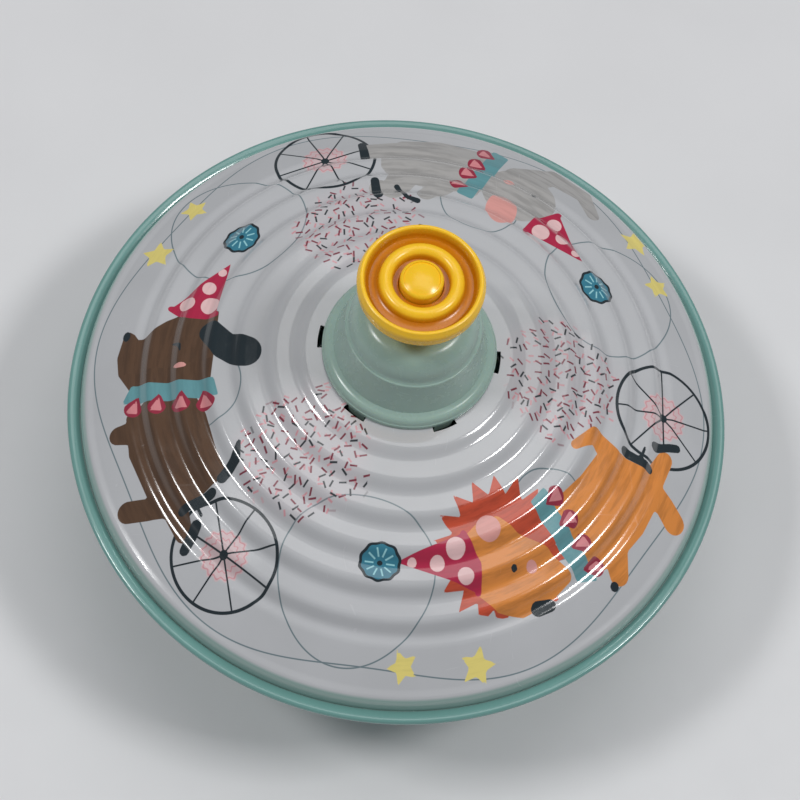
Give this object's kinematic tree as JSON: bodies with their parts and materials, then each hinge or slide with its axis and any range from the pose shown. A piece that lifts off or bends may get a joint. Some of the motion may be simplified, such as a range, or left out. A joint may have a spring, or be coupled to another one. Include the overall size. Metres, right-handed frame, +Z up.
{
  "type": "tin litho spinning top",
  "caption": "Pump-action tin spinning top: two seamed tinplate shells with a printed crown, a domed collar with a clutch, a twisted rod with a push knob, and a foot on a pivot pin.",
  "frame": {"origin": "on the floor plane under the spin axis, at the foot's resting face", "axes": "+Z up along the spin axis; +X and +Y horizontal, with a collar lug slot on +X"},
  "size_m": [0.18, 0.18, 0.1216],
  "materials": {
    "foot_base": "glossy moulded plastic, yellow",
    "pivot_pin": "turned steel",
    "pin_clip": "phosphated spring steel",
    "lower_shell": "glossy varnished print on tinplate, teal",
    "upper_shell": "glossy varnished print on tinplate, white ground",
    "base_hub": "glossy moulded plastic, yellow",
    "hub_ring": "zinc plated spring steel",
    "pin_bush": "turned brass",
    "thrust_cap": "hardened steel disc",
    "centre_tube": "natural white plastic tube",
    "clutch_cup": "natural white moulded plastic",
    "clutch_screws": "zinc plated",
    "collar": "glossy moulded plastic, mint green",
    "drive_nut": "self-lubricating plastic, ivory",
    "slot_plate": "stamped steel",
    "knob": "glossy moulded plastic, yellow",
    "knob_cap": "glossy moulded plastic, yellow",
    "spiral_rod": "twisted bright steel strip",
    "rod_stop": "dark crimped steel",
    "rod_washer": "zinc plated"
  },
  "bodies": {
    "foot": {"foot_base": "foot_base", "pivot_pin": "pivot_pin", "pin_clip": "pin_clip"},
    "top": {"lower_shell": "lower_shell", "upper_shell": "upper_shell", "base_hub": "base_hub", "hub_ring": "hub_ring", "pin_bush": "pin_bush", "thrust_cap": "thrust_cap", "centre_tube": "centre_tube", "clutch_cup": "clutch_cup", "clutch_screws": "clutch_screws", "collar": "collar"},
    "clutch_nut": {"drive_nut": "drive_nut", "slot_plate": "slot_plate"},
    "handle": {"knob": "knob", "knob_cap": "knob_cap", "spiral_rod": "spiral_rod", "rod_stop": "rod_stop", "rod_washer": "rod_washer"}
  },
  "joints": [
    {"name": "body_spin", "type": "hinge", "parent": "foot", "child": "top", "pos_m": [0, 0, 0.02], "axis": [0, 0, 1], "continuous": true},
    {"name": "pump_slide", "type": "slide", "parent": "foot", "child": "handle", "axis": [0, 0, 1], "range_m": [0, 0.0464]},
    {"name": "nut_spin", "type": "hinge", "parent": "foot", "child": "clutch_nut", "pos_m": [0, 0, 0.08], "axis": [0, 0, 1], "range_deg": [0, 522]}
  ],
  "couplings": [
    {"joint": "nut_spin", "follows": "pump_slide", "rad_per_m": 196.35}
  ]
}
